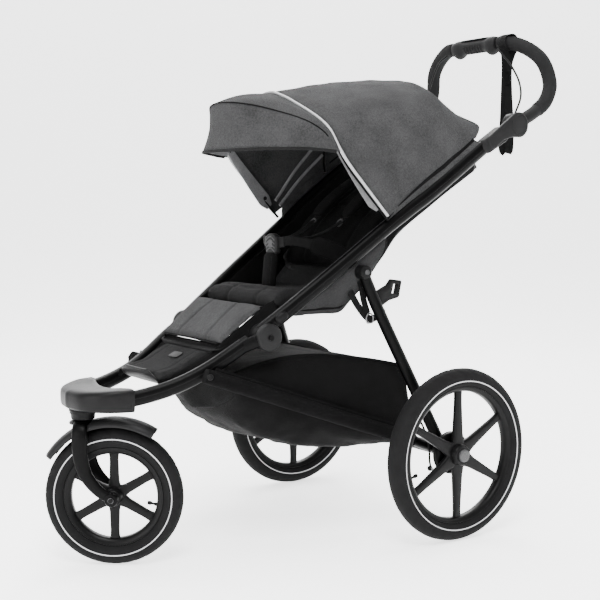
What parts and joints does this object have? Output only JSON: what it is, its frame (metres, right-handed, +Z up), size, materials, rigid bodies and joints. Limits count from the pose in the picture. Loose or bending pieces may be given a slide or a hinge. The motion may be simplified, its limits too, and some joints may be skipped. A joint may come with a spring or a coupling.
{
  "type": "jogging stroller",
  "caption": "Folding jogging stroller with a swivelling front wheel, spoked air-tyred wheels, sun canopy, harness, under-seat basket and a twist-grip hand brake.",
  "frame": {"origin": "floor level, midway across the rear wheels and halfway along the stroller's length", "axes": "+X to the child's left, +Y to the rear (towards the handlebar), +Z up"},
  "size_m": [0.721, 1.2751, 1.2104],
  "materials": {
    "black_cloth": "black mesh and weave",
    "black_plastic": "fine moulded grain",
    "dark_cloth": "coated grey weave",
    "foam": "closed-cell foam",
    "frame": "matte powder coat",
    "grey_plastic": "fine moulded grain",
    "light_plastic": "satin",
    "melange": "heathered grey weave",
    "steel": "turned",
    "tyre": "matte",
    "webbing": "woven webbing"
  },
  "bodies": {
    "front_frame": {"front_casting": "grey_plastic", "swivel_housing": "black_plastic", "lower_rail_left": "frame", "lower_rail_right": "frame", "fold_hub_left": "grey_plastic", "fold_hub_right": "grey_plastic", "fold_axle": "steel", "footrest_plate": "grey_plastic", "footrest_pad": "dark_cloth", "calf_pad": "melange"},
    "fork": {"front_fork": "frame", "front_axle": "steel", "fender": "black_plastic"},
    "front_wheel": {"front_tyre": "tyre", "front_rim": "black_plastic"},
    "upper_frame": {"upper_rail_left": "frame", "upper_rail_right": "frame", "handle_hinge_left": "grey_plastic", "handle_hinge_right": "grey_plastic", "seat_base": "black_cloth", "crotch_strap": "webbing", "harness_buckle": "black_plastic", "canopy_rear_bow": "frame", "canopy_cloth": "melange"},
    "buckle_button": {"buckle_button": "grey_plastic"},
    "backrest": {"backrest": "black_cloth", "shoulder_strap_left": "webbing", "shoulder_strap_right": "webbing"},
    "canopy_front": {"canopy_front_bow": "frame", "canopy_visor": "melange"},
    "handlebar": {"handlebar_tube": "frame", "foam_grip_left": "foam", "foam_grip_right": "foam", "brake_cable_left": "webbing", "brake_cable_right": "webbing", "wrist_strap": "webbing"},
    "brake_grip": {"brake_grip": "grey_plastic"},
    "rear_frame": {"rear_leg_left": "frame", "rear_leg_right": "frame", "brake_drum_left": "black_plastic", "brake_drum_right": "black_plastic", "fold_catch": "black_plastic"},
    "rear_wheel_left": {"rear_left_tyre": "tyre", "rear_left_rim": "black_plastic", "hub_cap_left": "light_plastic"},
    "rear_wheel_right": {"rear_right_tyre": "tyre", "rear_right_rim": "black_plastic", "hub_cap_right": "light_plastic"},
    "lower_frame": {"side_tube_left": "frame", "side_tube_right": "frame", "rear_crossbar": "frame", "basket": "black_cloth"},
    "brake_pedal": {"brake_pedal": "grey_plastic"}
  },
  "joints": [
    {"name": "frame_fold", "type": "hinge", "parent": "front_frame", "child": "upper_frame", "pos_m": [0, -0.2073, 0.4863], "axis": [-1, 0, 0], "range_deg": [0, 110]},
    {"name": "leg_fold", "type": "hinge", "parent": "upper_frame", "child": "rear_frame", "pos_m": [0, 0.0332, 0.6217], "axis": [1, 0, 0], "range_deg": [0, 60.1]},
    {"name": "tube_fold", "type": "hinge", "parent": "front_frame", "child": "lower_frame", "pos_m": [0, -0.3552, 0.412], "axis": [-1, 0, 0], "range_deg": [0, 70.9], "deforming": ["basket"]},
    {"name": "handlebar_angle", "type": "hinge", "parent": "upper_frame", "child": "handlebar", "pos_m": [0, 0.4828, 0.967], "axis": [1, 0, 0], "range_deg": [-40, 15]},
    {"name": "brake_twist", "type": "hinge", "parent": "handlebar", "child": "brake_grip", "pos_m": [0, 0.5768, 1.188], "axis": [1, 0, 0], "range_deg": [0, 25], "stiffness_Nm_per_rad": 1.5},
    {"name": "canopy_fold", "type": "hinge", "parent": "upper_frame", "child": "canopy_front", "pos_m": [0, 0.0878, 0.744], "axis": [-1, 0, 0], "range_deg": [0, 50], "deforming": ["canopy_cloth", "canopy_visor"]},
    {"name": "recline", "type": "hinge", "parent": "upper_frame", "child": "backrest", "pos_m": [0, 0.1018, 0.6], "axis": [-1, 0, 0], "range_deg": [0, 12]},
    {"name": "buckle_press", "type": "slide", "parent": "upper_frame", "child": "buckle_button", "axis": [0, 1, 0], "range_m": [0, 0.003], "stiffness_N_per_m": 400},
    {"name": "fork_swivel", "type": "hinge", "parent": "front_frame", "child": "fork", "pos_m": [0, -0.5632, 0.3], "axis": [0, 0, 1], "continuous": true},
    {"name": "front_wheel_spin", "type": "hinge", "parent": "fork", "child": "front_wheel", "pos_m": [0.03926, -0.51015, 0.1497], "axis": [0.8039, -0.5948, 0], "continuous": true},
    {"name": "rear_wheel_left_spin", "type": "hinge", "parent": "rear_frame", "child": "rear_wheel_left", "pos_m": [0.3325, 0.2168, 0.2], "axis": [1, 0, 0], "continuous": true},
    {"name": "rear_wheel_right_spin", "type": "hinge", "parent": "rear_frame", "child": "rear_wheel_right", "pos_m": [-0.3325, 0.2168, 0.2], "axis": [1, 0, 0], "continuous": true},
    {"name": "parking_brake", "type": "hinge", "parent": "lower_frame", "child": "brake_pedal", "pos_m": [0, 0.2168, 0.2], "axis": [-1, 0, 0], "range_deg": [0, 18]}
  ],
  "couplings": [
    {"joint": "leg_fold", "follows": "frame_fold", "ratio": 0.5455},
    {"joint": "tube_fold", "follows": "frame_fold", "ratio": 0.6436}
  ]
}
